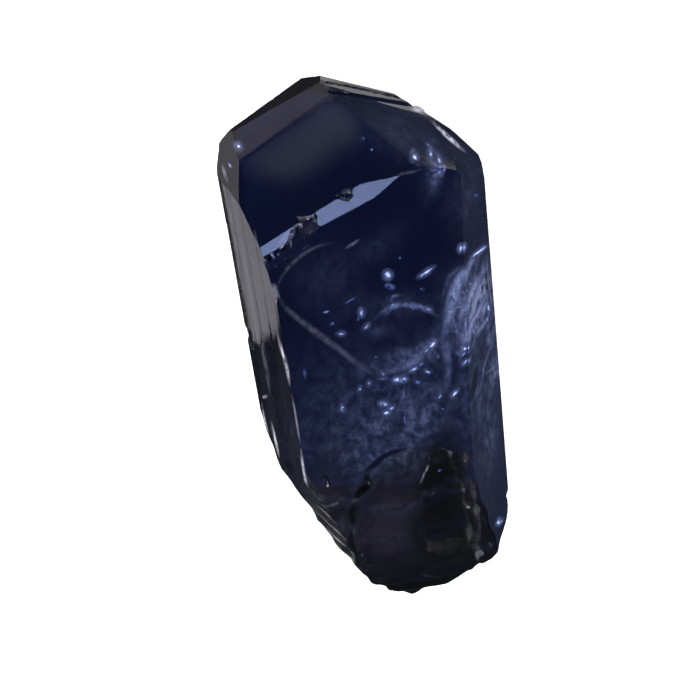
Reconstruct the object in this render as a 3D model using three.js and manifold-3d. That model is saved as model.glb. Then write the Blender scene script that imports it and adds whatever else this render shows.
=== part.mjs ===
// A tanzanite crystal as it grew: one stout prism with a sloping, stepped tip and a broken foot.
// It lies on its flat back prism face. Millimetres, +Z up. The long axis runs along Y, the tip points
// to +Y, and the origin is on the surface that it lies on, under the middle of its box.

import * as THREE from 'three';
import { mergeVertices } from 'three/addons/utils/BufferGeometryUtils.js';
import Module from 'manifold-3d';

const wasm = await Module();
wasm.setup();

// ---- Driving dimensions, in millimetres ----

const THICKNESS = 12;                                  // back face to front face
const BLANK = 60;                                      // side of the block that every face is cut from
const MIDDLE = new THREE.Vector3(0, 0, THICKNESS / 2); // face distances are measured from here

// A flat face is { bearing, lean, distance }: the bearing of its outward normal round Z, counted from +X
// towards +Y, the lean of that normal away from +Z, both in degrees, and its distance from MIDDLE.
const PRISM_FACES = [
  { bearing: 0, lean: 0, distance: THICKNESS / 2 },    // front
  { bearing: 0, lean: 180, distance: THICKNESS / 2 },  // back, which it lies on
  { bearing: 180, lean: 71, distance: 7.42 },          // left
  { bearing: 180.3, lean: 79, distance: 7.55 },        // its rolled edge
  { bearing: 180, lean: 115.5, distance: 7.3 },        // lower left
  { bearing: 0, lean: 50, distance: 7.67 },            // right bevel
  { bearing: 0, lean: 93, distance: 7.7 },             // right
  { bearing: 0, lean: 132.5, distance: 7.35 },         // lower right
];

const TIP_FACES = [
  { bearing: 40, lean: 5.5, distance: 6.06 },          // low slope in front of the tip
  { bearing: 111.6, lean: 21, distance: 9.05 },        // rim of the narrow bevel
  { bearing: 111, lean: 30.5, distance: 10.43 },       // narrow bright bevel
  { bearing: 112, lean: 44.5, distance: 12.1 },        // broad left tip face
  { bearing: 105.4, lean: 42.4, distance: 12.24 },     // slip of a face at its right end
  { bearing: 112.5, lean: 49.2, distance: 12.93 },     // rounding before its first growth step
  { bearing: 113.1, lean: 54, distance: 13.71 },       // its first growth step
  { bearing: 112, lean: 75, distance: 16.67 },         // its second growth step
  { bearing: 145, lean: 65, distance: 12.95 },         // left corner
  { bearing: 121.5, lean: 126.5, distance: 14.5 },     // left tip face behind
  { bearing: 68.5, lean: 66.5, distance: 15.28 },      // right tip face
  { bearing: 67.5, lean: 74.5, distance: 15.95 },      // its first growth step
  { bearing: 67.5, lean: 84, distance: 16.9 },         // its second growth step
  { bearing: 42, lean: 68, distance: 14.07 },          // right shoulder
  { bearing: 14, lean: 62, distance: 10.45 },          // small bevel under the shoulder
  { bearing: 67.5, lean: 126, distance: 14.25 },       // right tip face behind
  { bearing: 38, lean: 112, distance: 12.52 },         // right shoulder behind
];

// A break is a face with shell-like ripples: they run in rings round the point that was struck, given
// in the face's own plane, with a pitch from ring to ring and a depth.
const FOOT_BREAKS = [
  { bearing: -100, lean: 15, distance: 7.42, struck: [-3, 9], pitch: 2.6, depth: 0.16 },   // heel
  { bearing: -92, lean: 36, distance: 12.25, struck: [2, 7], pitch: 2.2, depth: 0.25 },    // upper foot
  { bearing: -89, lean: 66, distance: 18.2, struck: [-4, 6], pitch: 1.9, depth: 0.25 },    // foot
  { bearing: -91, lean: 108, distance: 18.9, struck: [3, -5], pitch: 2.4, depth: 0.3 },    // under the foot
  { bearing: -158.5, lean: 98.5, distance: 8.45, struck: [4, 5], pitch: 2.3, depth: 0.22 }, // left foot
  { bearing: -144.5, lean: 97, distance: 10.45, struck: [-3, 4], pitch: 1.8, depth: 0.2 },
  { bearing: -158, lean: 63.5, distance: 8.9, struck: [3, 3], pitch: 1.7, depth: 0.15 },
  { bearing: -25, lean: 87, distance: 12.25, struck: [-3, 5], pitch: 2.0, depth: 0.2 },     // right foot
  { bearing: -45, lean: 97, distance: 14.35, struck: [0, 5], pitch: 2.2, depth: 0.15 },
  { bearing: -60, lean: 100, distance: 16.2, struck: [2, 4], pitch: 2.1, depth: 0.22 },
];
const BREAK_CELLS = 18;                                // mesh cells along each side of a break
const BREAK_SPAN = 22;                                 // width and height of the rippled area

// Lengthwise steps in the left face, below its glossy upper part: V-shaped notches along Y. Across the
// face, from its front edge (0) to its lower edge (1), a notch opens at from, is deepest at floor and
// closes at to.
const LEFT_FRONT_EDGE = new THREE.Vector2(-5.52, 12);  // x, z
const LEFT_LOWER_EDGE = new THREE.Vector2(-7.84, 5.6);
const STEP_NOTCHES = [
  { from: 0.14, floor: 0.22, to: 0.3, depth: 0.15, start: -14, end: 4.6 },
  { from: 0.36, floor: 0.48, to: 0.56, depth: 0.12, start: -14, end: 3.4 },
  { from: 0.64, floor: 0.74, to: 0.86, depth: 0.13, start: -14, end: -0.6 },
];

// The broken plate in the lower front: everything above a sloping plane inside a jagged outline.
const PLATE = { bearing: -88, lean: 12, distance: 6.65, struck: [1, -2], pitch: 3.4, depth: 0.12 };
const PLATE_OUTLINE = [
  [1, -4], [-0.4, -4.2], [-1.2, -4.9], [-1.9, -5.5], [-1.6, -6.3], [-2.4, -7], [-2.9, -8.8], [-2.8, -9.8],
  [-3.2, -11.6], [-2.7, -13], [-3.4, -22], [6.4, -22], [5.2, -14.2], [4.9, -9], [4.4, -5], [3, -3.9],
];
const CAVITY_DEPTH = 0.6;                              // below the plate, in its right half
const CAVITY_OUTLINE = [
  [2.9, -4.4], [2.2, -5.8], [1.6, -7.6], [1.8, -9.4], [1.2, -11.2], [1.7, -13.4], [3, -14.3], [4.4, -13.9],
  [4.7, -12], [4.4, -9], [3.7, -6.6], [3.6, -4.9],
];

// Flakes broken out of the narrow bevel: everything above a sloping floor inside an outline.
const FLAKES = [
  {
    floor: { bearing: 112, lean: 44.5, distance: 11.93 },
    outline: [
      [-1.15, 12.95], [-0.75, 13.15], [-0.45, 13.15], [-0.38, 12.93], [-0.65, 12.75], [-1.05, 12.8],
    ],
  },
  {
    floor: { bearing: 112, lean: 44.5, distance: 11.9 },
    outline: [
      [-3.68, 12], [-2.65, 12], [-2.65, 11.2], [-3.1, 10.95], [-3.67, 11.1],
    ],
  },
  {
    floor: { bearing: 112, lean: 38, distance: 11.1 },
    outline: [
      [-3.35, 10.6], [-3.87, 10.3], [-4.85, 9.4], [-6.3, 8.6], [-6.5, 9.6], [-5.6, 10.2], [-4.9, 10.6],
      [-4.3, 11.2], [-3.6, 11.7],
    ],
  },
];

// Chips knocked off the edges: where, and how large.
const CHIPS = [
  { at: [-7.95, 3, 5.6], radius: 0.55 },
  { at: [7.9, -11.2, 8.4], radius: 0.6 },
];

const TANZANITE = new THREE.MeshStandardMaterial({ color: 0x1b2044, roughness: 0.08, metalness: 0 });

// ---- Shapes ----

// A closed geometry as a solid that can be cut and joined.
function solidFrom(geometry) {
  geometry.deleteAttribute('normal');
  geometry.deleteAttribute('uv');
  const merged = mergeVertices(geometry, 1e-5);
  return new wasm.Manifold(new wasm.Mesh({
    numProp: 3,
    vertProperties: new Float32Array(merged.attributes.position.array),
    triVerts: new Uint32Array(merged.index.array),
  }));
}

// The outward normal of a face.
function normalOf({ bearing, lean }) {
  const polar = THREE.MathUtils.degToRad(lean);
  const around = THREE.MathUtils.degToRad(bearing);
  return new THREE.Vector3(
    Math.sin(polar) * Math.cos(around),
    Math.sin(polar) * Math.sin(around),
    Math.cos(polar),
  );
}

// The frame of a face: local Z is its outward normal, local Y runs up its slope, and the origin is the
// point of the face nearest to MIDDLE.
function faceFrame(face) {
  const normal = normalOf(face);
  const upright = Math.abs(normal.z) < 0.999 ? new THREE.Vector3(0, 0, 1) : new THREE.Vector3(0, 1, 0);
  const across = new THREE.Vector3().crossVectors(upright, normal).normalize();
  const upSlope = new THREE.Vector3().crossVectors(normal, across);
  const origin = MIDDLE.clone().addScaledVector(normal, face.distance);
  return new THREE.Matrix4().makeBasis(across, upSlope, normal).setPosition(origin);
}

// Everything on the outer side of a flat face.
function beyondFace(face) {
  const block = new THREE.BoxGeometry(BLANK, BLANK, BLANK);
  block.translate(0, 0, BLANK / 2);
  block.applyMatrix4(faceFrame(face));
  return solidFrom(block);
}

// Everything on the outer side of a break, whose near side dips in rings round the struck point and
// fades to the flat plane at the rim of the rippled area.
function beyondBreak(face) {
  const block = new THREE.BoxGeometry(BREAK_SPAN, BREAK_SPAN, BLANK, BREAK_CELLS, BREAK_CELLS, 1);
  block.translate(0, 0, BLANK / 2);
  const position = block.attributes.position;
  for (let i = 0; i < position.count; i += 1) {
    if (position.getZ(i) > BLANK / 2) continue;
    const x = position.getX(i);
    const y = position.getY(i);
    const reach = Math.hypot(x - face.struck[0], y - face.struck[1]);
    const ring = 0.5 - 0.5 * Math.cos(2 * Math.PI * reach / face.pitch);
    position.setZ(i, -face.depth * ring);
  }
  block.applyMatrix4(faceFrame(face));
  return solidFrom(block).add(beyondRim(face));
}

// The flat frame round the rippled area of a break, so that the break still cuts as a whole face does.
function beyondRim(face) {
  const rim = new THREE.Shape();
  rim.moveTo(-BLANK / 2, -BLANK / 2).lineTo(BLANK / 2, -BLANK / 2).lineTo(BLANK / 2, BLANK / 2);
  rim.lineTo(-BLANK / 2, BLANK / 2).closePath();
  const half = BREAK_SPAN / 2 - 0.01;
  const hole = new THREE.Path();
  hole.moveTo(-half, -half).lineTo(-half, half).lineTo(half, half).lineTo(half, -half).closePath();
  rim.holes.push(hole);
  const frame = new THREE.ExtrudeGeometry(rim, { depth: BLANK, bevelEnabled: false });
  frame.applyMatrix4(faceFrame(face));
  return solidFrom(frame);
}

// An upright column over an outline in the XY plane, from the height bottom upwards.
function columnOver(outline, bottom) {
  const shape = new THREE.Shape(outline.map(([x, y]) => new THREE.Vector2(x, y)));
  const column = new THREE.ExtrudeGeometry(shape, { depth: BLANK, bevelEnabled: false });
  column.translate(0, 0, bottom);
  return solidFrom(column);
}

// One V-shaped notch along the left face.
function stepNotch({ from, floor, to, depth, start, end }) {
  const edge = (share) => new THREE.Vector2().lerpVectors(LEFT_FRONT_EDGE, LEFT_LOWER_EDGE, share);
  const along = new THREE.Vector2().subVectors(LEFT_LOWER_EDGE, LEFT_FRONT_EDGE).normalize();
  const outward = new THREE.Vector2(along.y, -along.x);
  const clear = 1;
  const corners = [
    edge(from).addScaledVector(outward, clear),
    edge(from),
    edge(floor).addScaledVector(outward, -depth),
    edge(to),
    edge(to).addScaledVector(outward, clear),
  ];
  const section = new THREE.Shape(corners.map((p) => new THREE.Vector2(p.x, p.y)));
  const bar = new THREE.ExtrudeGeometry(section, { depth: end - start, bevelEnabled: false });
  bar.rotateX(Math.PI / 2);
  bar.translate(0, end, 0);
  return solidFrom(bar);
}

// A chip: a small faceted ball taken out of an edge.
function chip({ at, radius }) {
  const ball = new THREE.IcosahedronGeometry(radius, 1);
  ball.translate(...at);
  return solidFrom(ball);
}

// What is broken out: everything above a floor inside an outline.
function brokenOut(floor, outline) {
  const ordered = THREE.ShapeUtils.isClockWise(outline.map(([x, y]) => new THREE.Vector2(x, y)))
    ? [...outline].reverse()
    : outline;
  return beyondFace(floor).intersect(columnOver(ordered, 0));
}

// The broken plate and the cavity beside it, as one solid to take away.
function brokenPlate() {
  const lowered = { ...PLATE, distance: PLATE.distance - CAVITY_DEPTH };
  return brokenOut(PLATE, PLATE_OUTLINE).add(brokenOut(lowered, CAVITY_OUTLINE));
}

function crystal() {
  let solid = solidFrom(new THREE.BoxGeometry(BLANK, BLANK, BLANK));
  for (const face of [...PRISM_FACES, ...TIP_FACES]) {
    solid = solid.subtract(beyondFace(face));
  }
  for (const face of FOOT_BREAKS) {
    solid = solid.subtract(beyondBreak(face));
  }
  solid = solid.subtract(brokenPlate());
  for (const { floor, outline } of FLAKES) {
    solid = solid.subtract(brokenOut(floor, outline));
  }
  for (const notch of STEP_NOTCHES) {
    solid = solid.subtract(stepNotch(notch));
  }
  for (const spot of CHIPS) {
    solid = solid.subtract(chip(spot));
  }
  return solid;
}

// A solid back as a geometry, flat shaded.
function geometryFrom(solid) {
  const mesh = solid.getMesh();
  const geometry = new THREE.BufferGeometry();
  geometry.setAttribute('position', new THREE.BufferAttribute(mesh.vertProperties, mesh.numProp));
  geometry.setIndex(new THREE.BufferAttribute(mesh.triVerts, 1));
  const flat = geometry.toNonIndexed();
  flat.computeVertexNormals();
  return flat;
}

const tanzanite = new THREE.Mesh(geometryFrom(crystal()), TANZANITE);
tanzanite.name = 'tanzanite_crystal';

const part = new THREE.Group();
part.add(tanzanite);

export default part;
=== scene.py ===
"""A rough tanzanite crystal: a clear, deeply coloured prism with a bevelled tip and a broken foot.

The crystal is one closed glass body. Its skin is worked out from its natural faces: each face is a
plane under a thin relief, a height that is a function of two parameters on the face, and the crystal is
everything that lies below all of its faces. What is sealed inside (haze, healed cracks, flakes,
graphite) are thin closed sheets of their own that show only their own emission: painted light, with
painted glints on the flakes, painted highlights along rims and edges, and painted shade in the foot.
Lengths inside the classes are millimetres in the frame of the part; meshes are put out in metres.
"""
import logging
from collections.abc import Callable, Sequence
from dataclasses import dataclass, field
from enum import Enum
from typing import ClassVar

import bpy
import numpy as np
from mathutils import Matrix, Vector


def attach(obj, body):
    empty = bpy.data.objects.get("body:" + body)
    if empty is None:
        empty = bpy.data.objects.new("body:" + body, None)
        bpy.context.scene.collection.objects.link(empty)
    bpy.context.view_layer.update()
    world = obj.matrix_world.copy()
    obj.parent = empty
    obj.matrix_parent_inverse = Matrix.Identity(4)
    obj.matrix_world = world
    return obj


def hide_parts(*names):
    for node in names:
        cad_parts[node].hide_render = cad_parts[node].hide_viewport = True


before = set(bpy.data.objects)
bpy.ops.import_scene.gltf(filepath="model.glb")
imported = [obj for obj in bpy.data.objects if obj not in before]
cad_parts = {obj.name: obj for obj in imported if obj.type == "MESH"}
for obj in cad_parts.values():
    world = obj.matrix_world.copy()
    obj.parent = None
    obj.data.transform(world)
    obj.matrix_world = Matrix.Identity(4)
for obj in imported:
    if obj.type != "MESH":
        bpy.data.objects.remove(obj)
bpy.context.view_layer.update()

log = logging.getLogger("tanzanite")

MM = 0.001
NODE = "tanzanite_crystal"
BODY = "root"

THICKNESS = 12.0                                  # back face to front face
MIDDLE = np.array([0.0, 0.0, THICKNESS / 2])      # face distances are measured from here

Point = tuple[float, float, float]
Spot = tuple[float, float]


# ---------------------------------------------------------------- plane geometry

def direction(bearing: float, lean: float) -> np.ndarray:
    """Unit vector that leans away from +Z towards a bearing round Z.

    Args:
        bearing: degrees from +X towards +Y.
        lean: degrees away from +Z.

    Returns:
        The vector, shape (3,).
    """
    around, polar = np.radians(bearing), np.radians(lean)
    return np.array([np.sin(polar) * np.cos(around), np.sin(polar) * np.sin(around), np.cos(polar)])


def distance_to_line(x: np.ndarray, y: np.ndarray, line: Sequence[Spot]) -> np.ndarray:
    """Distance in the plane from each point to an open line through the given corners.

    On each stretch the nearest point is the corner plus the stretch times the clamped share of the way
    along it; the least distance over all stretches counts.

    Args:
        x: first coordinates.
        y: second coordinates.
        line: corners of the line, in order.

    Returns:
        Distances, in the shape of x.
    """
    best = np.full(x.shape, np.inf)
    for (ax, ay), (bx, by) in zip(line[:-1], line[1:]):
        dx, dy = bx - ax, by - ay
        share = np.clip(((x - ax) * dx + (y - ay) * dy) / (dx * dx + dy * dy), 0.0, 1.0)
        best = np.minimum(best, np.hypot(x - ax - share * dx, y - ay - share * dy))
    return best


def inside_outline(x: np.ndarray, y: np.ndarray, outline: Sequence[Spot]) -> np.ndarray:
    """Signed distance to a closed outline in the plane, negative inside.

    The sign comes from counting how often a ray along +X crosses the outline.

    Args:
        x: first coordinates.
        y: second coordinates.
        outline: corners of the outline, in order, without repeating the first.

    Returns:
        Signed distances, in the shape of x.
    """
    closed = [*outline, outline[0]]
    odd = np.zeros(x.shape, dtype=bool)
    for (ax, ay), (bx, by) in zip(closed[:-1], closed[1:]):
        if ay != by:
            crosses = ((ay > y) != (by > y)) & (x < (bx - ax) * (y - ay) / (by - ay) + ax)
            odd ^= crosses
    return np.where(odd, -1.0, 1.0) * distance_to_line(x, y, closed)


# ---------------------------------------------------------------- relief on a face

class Relief:
    """A height over a face, in millimetres, as a function of two parameters on it.

    The first parameter runs across the face, level, and the second up its slope. A positive height
    stands proud of the plane.
    """

    def height(self, across: np.ndarray, up: np.ndarray) -> np.ndarray:
        """Flat: no relief."""
        return np.zeros(across.shape)


@dataclass(frozen=True)
class Rings(Relief):
    """Shell-like ripples of a break, in rings round the point that was struck."""

    struck: Spot
    pitch: float
    depth: float

    def height(self, across: np.ndarray, up: np.ndarray) -> np.ndarray:
        """Minus the depth times half of one minus the cosine of the reach over the pitch."""
        reach = np.hypot(across - self.struck[0], up - self.struck[1])
        return -self.depth * (0.5 - 0.5 * np.cos(2 * np.pi * reach / self.pitch))


@dataclass(frozen=True)
class Waves(Relief):
    """Soft uneven growth: a sum of sine waves with random bearings, pitches and phases."""

    pitch: float
    depth: float
    seed: int
    count: int = 7

    def height(self, across: np.ndarray, up: np.ndarray) -> np.ndarray:
        """The sum of the waves over the root of their number, times the depth.

        Args:
            across: first coordinates on the face.
            up: second coordinates on the face.

        Returns:
            Heights, in the shape of across.
        """
        rng = np.random.default_rng(self.seed)
        total = np.zeros(across.shape)
        for _ in range(self.count):
            bearing, phase = rng.uniform(0, 2 * np.pi, 2)
            pitch = self.pitch * rng.uniform(0.6, 1.6)
            along = across * np.cos(bearing) + up * np.sin(bearing)
            total += np.sin(2 * np.pi * along / pitch + phase)
        return self.depth * total / np.sqrt(self.count)


@dataclass(frozen=True)
class Striae(Relief):
    """Fine parallel striations: a random saw-like section that is the same all along the face."""

    pitch: float
    depth: float
    seed: int
    span: float = 40.0

    def height(self, across: np.ndarray, up: np.ndarray) -> np.ndarray:
        """The section, read at the coordinate up the slope, square to the striations.

        Args:
            across: first coordinates on the face, which don't count.
            up: second coordinates on the face.

        Returns:
            Heights, in the shape of up.
        """
        rng = np.random.default_rng(self.seed)
        count = int(self.span / self.pitch)
        knots = np.sort(rng.uniform(-self.span / 2, self.span / 2, count))
        heights = rng.uniform(-self.depth, 0, count)
        return np.interp(up, knots, heights)


@dataclass(frozen=True)
class Groove(Relief):
    """A V-shaped groove along a line on the face."""

    line: tuple[Spot, ...]
    width: float
    depth: float

    def height(self, across: np.ndarray, up: np.ndarray) -> np.ndarray:
        """Minus the depth, rising evenly to nought at half the width to either side of the line."""
        share = 1.0 - distance_to_line(across, up, self.line) / (self.width / 2)
        return -self.depth * np.clip(share, 0.0, 1.0)


@dataclass(frozen=True)
class Stack(Relief):
    """Several reliefs on one face, added up."""

    layers: tuple[Relief, ...]

    def height(self, across: np.ndarray, up: np.ndarray) -> np.ndarray:
        """The sum of the layers."""
        return np.sum([layer.height(across, up) for layer in self.layers], axis=0)


@dataclass(frozen=True)
class Face:
    """A natural face or a break: a plane under a relief.

    Attributes:
        bearing: bearing of the outward normal, degrees from +X towards +Y.
        lean: lean of the outward normal away from +Z, degrees.
        distance: distance of the plane from MIDDLE.
        relief: the height over the plane.
        broken: true for a break, which is dull.
    """

    bearing: float
    lean: float
    distance: float
    relief: Relief = field(default_factory=Relief)
    broken: bool = False

    def axes(self) -> tuple[np.ndarray, np.ndarray, np.ndarray]:
        """The face's own directions.

        Returns:
            Its level direction, its up-slope direction and its outward normal.
        """
        normal = direction(self.bearing, self.lean)
        upright = np.array([0.0, 0, 1]) if abs(normal[2]) < 0.999 else np.array([0.0, 1, 0])
        across = np.cross(upright, normal)
        across /= np.linalg.norm(across)
        return across, np.cross(normal, across), normal

    def above(self, points: np.ndarray) -> np.ndarray:
        """Height of each point above the face, relief included.

        Args:
            points: (n, 3), millimetres.

        Returns:
            Heights, (n,).
        """
        across, up, normal = self.axes()
        local = points - MIDDLE - self.distance * normal
        flat = local @ normal
        if type(self.relief) is Relief:
            return flat
        return flat - self.relief.height(local @ across, local @ up)

    @property
    def looks_up(self) -> bool:
        """Whether the face looks up."""
        return self.lean < 90

    def level(self, x: np.ndarray, y: np.ndarray) -> np.ndarray:
        """Level of the bare plane over each spot of the plan."""
        normal = direction(self.bearing, self.lean)
        return MIDDLE[2] + (self.distance - normal[0] * x - normal[1] * y) / normal[2]


# ---------------------------------------------------------------- the skin of a solid

@dataclass(frozen=True)
class LatticeSkin:
    """Finds the closed skin of a solid that is given by a height-like function, negative inside.

    The function is read on a lattice. Where it changes sign along a lattice edge, the skin crosses that
    edge. Each cell that holds crossings gets one vertex, at the point that lies best on the tangent
    planes of all its crossings, so flat faces stay flat and sharp edges stay sharp. Each crossed edge
    gives a four-cornered face between the vertices of the four cells round it.

    Attributes:
        low: the lattice's low corner.
        high: its high corner.
        cell: its spacings.
        touch: how far to either side the slope is felt for.
        rank_share: the share of its stiffest direction below which a cell counts as flat in a direction.
        rounds: how often each crossing is narrowed down.
        margin: least share of its span that a guess keeps from either end.
    """

    low: Point
    high: Point
    cell: Point
    touch: float = 0.012
    rank_share: float = 0.0012
    rounds: int = 5
    margin: float = 0.05

    def build(self, solid: Callable[[np.ndarray], np.ndarray]) -> tuple[np.ndarray, np.ndarray]:
        """Work out the skin.

        Args:
            solid: the function, from points (n, 3) to heights (n,).

        Returns:
            Vertices (n, 3) and triangles (m, 3).
        """
        lines = [np.arange(a, b + c, c) for a, b, c in zip(self.low, self.high, self.cell)]
        shape = tuple(len(line) for line in lines)
        values = np.empty(shape)
        plane = np.stack(np.meshgrid(lines[0], lines[1], indexing="ij"), axis=-1).reshape(-1, 2)
        for k, z in enumerate(lines[2]):
            layer = np.column_stack([plane, np.full(len(plane), z)])
            values[:, :, k] = solid(layer).reshape(shape[:2])
        crossings, normals, rings, flips = self._crossings(solid, lines, values)
        vertices, number = self._vertices(crossings, normals, rings.ravel(), shape)
        quads = number[rings]
        quads[flips] = quads[flips, ::-1]
        return vertices, self._triangles(solid, vertices, quads)

    def _crossings(self, solid: Callable[[np.ndarray], np.ndarray], lines: list[np.ndarray],
                   values: np.ndarray) -> tuple[np.ndarray, ...]:
        """Where the skin crosses the lattice edges, with the normal there and the four cells around.

        Args:
            solid: the function.
            lines: lattice coordinates along each axis.
            values: the function on the lattice.

        Returns:
            Crossing points, unit normals, the numbers of the four cells round each crossing (n, 4), and
            which faces need turning round.
        """
        shape = np.array(values.shape)
        strides = np.array([shape[1] * shape[2], shape[2], 1])
        points, rings, flips = [], [], []
        for axis in range(3):
            first = np.take(values, range(shape[axis] - 1), axis)
            second = np.take(values, range(1, shape[axis]), axis)
            at = np.argwhere((first < 0) != (second < 0))
            start = np.stack([lines[a][at[:, a]] for a in range(3)], axis=1)
            step = np.zeros(3)
            step[axis] = self.cell[axis]
            low_end, high_end = np.zeros(len(at)), np.ones(len(at))
            low_value = first[tuple(at.T)]
            high_value = second[tuple(at.T)]
            for _ in range(self.rounds):
                guess = np.clip(low_value / (low_value - high_value), self.margin, 1 - self.margin)
                share = low_end + (high_end - low_end) * guess
                here = solid(start + share[:, None] * step)
                same = (here < 0) == (low_value < 0)
                low_end, low_value = np.where(same, share, low_end), np.where(same, here, low_value)
                high_end, high_value = np.where(same, high_end, share), np.where(same, high_value, here)
            share = low_end + (high_end - low_end) * low_value / (low_value - high_value)
            points.append(start + share[:, None] * step)
            number = at @ strides
            b, c = strides[(axis + 1) % 3], strides[(axis + 2) % 3]
            rings.append(np.stack([number - b - c, number - c, number, number - b], axis=1))
            flips.append(first[tuple(at.T)] > 0)
        points = np.concatenate(points)
        slope = np.stack([solid(points + self.touch * e) - solid(points - self.touch * e)
                          for e in np.eye(3)], axis=1)
        normals = slope / np.maximum(np.linalg.norm(slope, axis=1, keepdims=True), 1e-12)
        return points, normals, np.concatenate(rings), np.concatenate(flips)

    def _vertices(self, points: np.ndarray, normals: np.ndarray, cells: np.ndarray,
                  shape: tuple[int, ...]) -> tuple[np.ndarray, np.ndarray]:
        """One vertex for each cell: the least-squares meeting point of its crossings' planes.

        Args:
            points: crossings.
            normals: unit normals there.
            cells: the four cell numbers of each crossing, in one row.
            shape: lattice size.

        Returns:
            Vertices, and a table from cell number to vertex number.
        """
        used, group = np.unique(cells, return_inverse=True)
        point, normal = np.repeat(points, 4, axis=0), np.repeat(normals, 4, axis=0)
        count = np.bincount(group)
        middle = np.stack([np.bincount(group, point[:, a]) for a in range(3)], axis=1) / count[:, None]
        offset = np.einsum("ij,ij->i", normal, point - middle[group])
        matrix = np.stack([np.bincount(group, normal[:, a] * normal[:, b])
                           for a in range(3) for b in range(3)], axis=1).reshape(-1, 3, 3)
        right = np.stack([np.bincount(group, normal[:, a] * offset) for a in range(3)], axis=1)
        sizes, bases = np.linalg.eigh(matrix)
        kept = sizes > self.rank_share * sizes[:, -1:]
        inverse = np.where(kept, 1.0 / np.where(kept, sizes, 1.0), 0.0)
        shift = np.einsum("nij,nj->ni", bases, inverse * np.einsum("nji,nj->ni", bases, right))
        corner = np.stack(np.unravel_index(used, shape), axis=1) * self.cell + self.low
        vertices = np.clip(middle + shift, corner, corner + self.cell)
        number = np.zeros(int(np.prod(shape)), dtype=np.int64)
        number[used] = np.arange(len(used))
        return vertices, number

    @staticmethod
    def _triangles(solid: Callable[[np.ndarray], np.ndarray], vertices: np.ndarray,
                   quads: np.ndarray) -> np.ndarray:
        """Split each four-cornered face along the diagonal that lies closer to the skin.

        Args:
            solid: the function.
            vertices: the vertices.
            quads: faces (n, 4).

        Returns:
            Triangles (2n, 3).
        """
        corner = vertices[quads]
        one = np.abs(solid((corner[:, 0] + corner[:, 2]) / 2))
        other = np.abs(solid((corner[:, 1] + corner[:, 3]) / 2))
        turned = np.where((one <= other)[:, None], quads, np.roll(quads, -1, axis=1))
        return np.concatenate([turned[:, [0, 1, 2]], turned[:, [0, 2, 3]]])


# ---------------------------------------------------------------- the crystal's form

@dataclass(frozen=True)
class Bite:
    """A small chip out of an edge: what lies inside a ball and above a flat floor."""

    at: Point
    radius: float
    floor: Face

    def inside(self, points: np.ndarray) -> np.ndarray:
        """The greater of the distance to the ball and the depth under the floor, negative inside."""
        reach = np.linalg.norm(points - np.array(self.at), axis=1)
        return np.maximum(reach - self.radius, -self.floor.above(points))


@dataclass(frozen=True)
class Hollow:
    """A piece broken out: ragged walls round an outline in the plan, leaning outwards from a floor.

    Attributes:
        outline: its corners in the plan.
        floor: the face or break that its floor follows.
        sunk: how far the floor lies under that face.
        ragged: how the outline wanders.
        lean: how far the walls lean outwards, as a share of their height.
    """

    outline: tuple[Spot, ...]
    floor: Face
    sunk: float = 0.0
    ragged: Relief = field(default_factory=Relief)
    lean: float = 0.15

    def _walls(self, x: np.ndarray, y: np.ndarray) -> np.ndarray:
        """Distance to the ragged outline, negative inside."""
        return inside_outline(x, y, self.outline) + self.ragged.height(x, y)

    def inside(self, points: np.ndarray) -> np.ndarray:
        """Distance into the hollow, negative in it: the greater of those to its walls and its floor."""
        height = self.floor.above(points) + self.sunk
        return np.maximum(-height, self._walls(points[:, 0], points[:, 1]) - self.lean * height)

    def lower(self, level: np.ndarray, x: np.ndarray, y: np.ndarray) -> np.ndarray:
        """The level of the skin with this hollow in it: its floor, rising at the walls."""
        floor = self.floor.level(x, y) - self.sunk
        return np.minimum(level, floor + np.maximum(self._walls(x, y), 0.0) / self.lean)


@dataclass(frozen=True)
class Bead:
    """A rounded line on a face seen from above: raised if its height is positive, else a groove."""

    line: tuple[Spot, ...]
    height: float
    width: float

    def rise(self, x: np.ndarray, y: np.ndarray) -> np.ndarray:
        """The height times a bell curve of the distance to the line over the width."""
        return self.height * np.exp(-(distance_to_line(x, y, self.line) / self.width) ** 2)


def shattered(struck: Spot, pitch: float, depth: float, seed: int) -> Relief:
    """The relief of a break: rings round the struck point and a finer unevenness."""
    return Stack((Rings(struck, pitch, depth), Waves(1.5, 0.02, seed)))


PLATE = Face(-88, 12, 6.65, shattered((1, -2), 3.4, 0.12, 40), True)


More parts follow.
